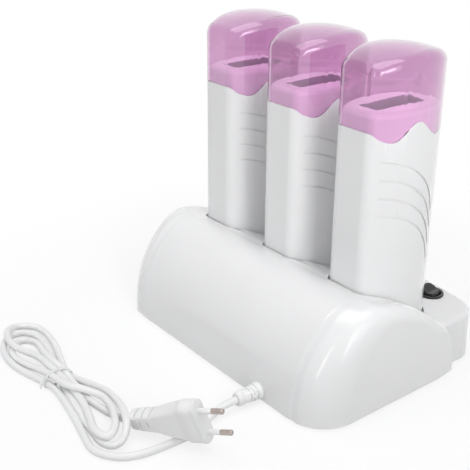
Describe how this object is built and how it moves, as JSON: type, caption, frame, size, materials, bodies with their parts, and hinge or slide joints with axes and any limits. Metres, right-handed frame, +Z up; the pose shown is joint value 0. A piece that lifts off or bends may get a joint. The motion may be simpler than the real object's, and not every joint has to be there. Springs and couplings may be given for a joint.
{
  "type": "roll on wax heater",
  "caption": "Docking base with a rear mains lead and round rocker switch, holding upright handheld roll-on wax heaters, each with a lift-off tinted clear lid.",
  "frame": {"origin": "on the table, under the centre of the base's outline (lead and plug left out)", "axes": "+Z up, X along the row of heaters, -Y toward the user and the switch, +Y to the rear where the lead leaves"},
  "size_m": [0.2662, 0.3173, 0.251],
  "materials": {
    "white_gloss": "moulded white plastic, polished, faint orange-peel",
    "white_satin": "moulded white plastic, fine satin",
    "pink_clear": "clear pink tinted plastic, polished",
    "grey_rubber": "soft rubber",
    "screw_steel": "zinc plated",
    "black_plastic": "black moulded plastic, satin",
    "contact_brass": "plain brass",
    "lead_insulation": "insulated lead",
    "cord_white": "soft white PVC",
    "tie_white": "plastic coated wire tie",
    "pin_nickel": "bright plated pin",
    "aluminium": "drawn aluminium, satin",
    "element_ceramic": "flat heating element in insulating film",
    "lamp_red": "clear red lens"
  },
  "bodies": {
    "base": {"base_housing": "white_gloss", "bottom_plate": "white_satin", "rubber_feet": "grey_rubber", "base_screws": "screw_steel", "switch_case": "black_plastic", "switch_tabs": "contact_brass", "terminal_block": "white_satin", "base_wiring": "lead_insulation", "strain_relief": "cord_white", "cord_lead": "cord_white", "cord_hank": "cord_white", "cord_tie": "tie_white", "plug_body": "cord_white", "plug_pins": "pin_nickel", "dock_1_tub": "white_gloss", "dock_1_block": "white_satin", "dock_1_pins": "contact_brass", "dock_2_tub": "white_gloss", "dock_2_block": "white_satin", "dock_2_pins": "contact_brass", "dock_3_tub": "white_gloss", "dock_3_block": "white_satin", "dock_3_pins": "contact_brass"},
    "rocker": {"switch_rocker": "black_plastic"},
    "heater_1": {"heater_1_shell": "white_gloss", "heater_1_neck": "white_satin", "heater_1_liner": "aluminium", "heater_1_elements": "element_ceramic", "heater_1_thermostat": "black_plastic", "heater_1_foot": "white_satin", "heater_1_contacts": "contact_brass", "heater_1_leads": "lead_insulation", "heater_1_lamp": "lamp_red"},
    "lid_1": {"heater_1_lid": "pink_clear"},
    "heater_2": {"heater_2_shell": "white_gloss", "heater_2_neck": "white_satin", "heater_2_liner": "aluminium", "heater_2_elements": "element_ceramic", "heater_2_thermostat": "black_plastic", "heater_2_foot": "white_satin", "heater_2_contacts": "contact_brass", "heater_2_leads": "lead_insulation", "heater_2_lamp": "lamp_red"},
    "lid_2": {"heater_2_lid": "pink_clear"},
    "heater_3": {"heater_3_shell": "white_gloss", "heater_3_neck": "white_satin", "heater_3_liner": "aluminium", "heater_3_elements": "element_ceramic", "heater_3_thermostat": "black_plastic", "heater_3_foot": "white_satin", "heater_3_contacts": "contact_brass", "heater_3_leads": "lead_insulation", "heater_3_lamp": "lamp_red"},
    "lid_3": {"heater_3_lid": "pink_clear"}
  },
  "joints": [
    {"name": "rocker_tilt", "type": "hinge", "parent": "base", "child": "rocker", "pos_m": [-0.076, -0.07325, 0.0395], "axis": [0, 1, 0], "range_deg": [0, 20]},
    {"name": "heater_1_lift", "type": "slide", "parent": "base", "child": "heater_1", "axis": [0, 0, 1], "range_m": [0, 0.24]},
    {"name": "lid_1_lift", "type": "slide", "parent": "heater_1", "child": "lid_1", "axis": [0, 0, 1], "range_m": [0, 0.08]},
    {"name": "heater_2_lift", "type": "slide", "parent": "base", "child": "heater_2", "axis": [0, 0, 1], "range_m": [0, 0.24]},
    {"name": "lid_2_lift", "type": "slide", "parent": "heater_2", "child": "lid_2", "axis": [0, 0, 1], "range_m": [0, 0.08]},
    {"name": "heater_3_lift", "type": "slide", "parent": "base", "child": "heater_3", "axis": [0, 0, 1], "range_m": [0, 0.24]},
    {"name": "lid_3_lift", "type": "slide", "parent": "heater_3", "child": "lid_3", "axis": [0, 0, 1], "range_m": [0, 0.08]}
  ]
}
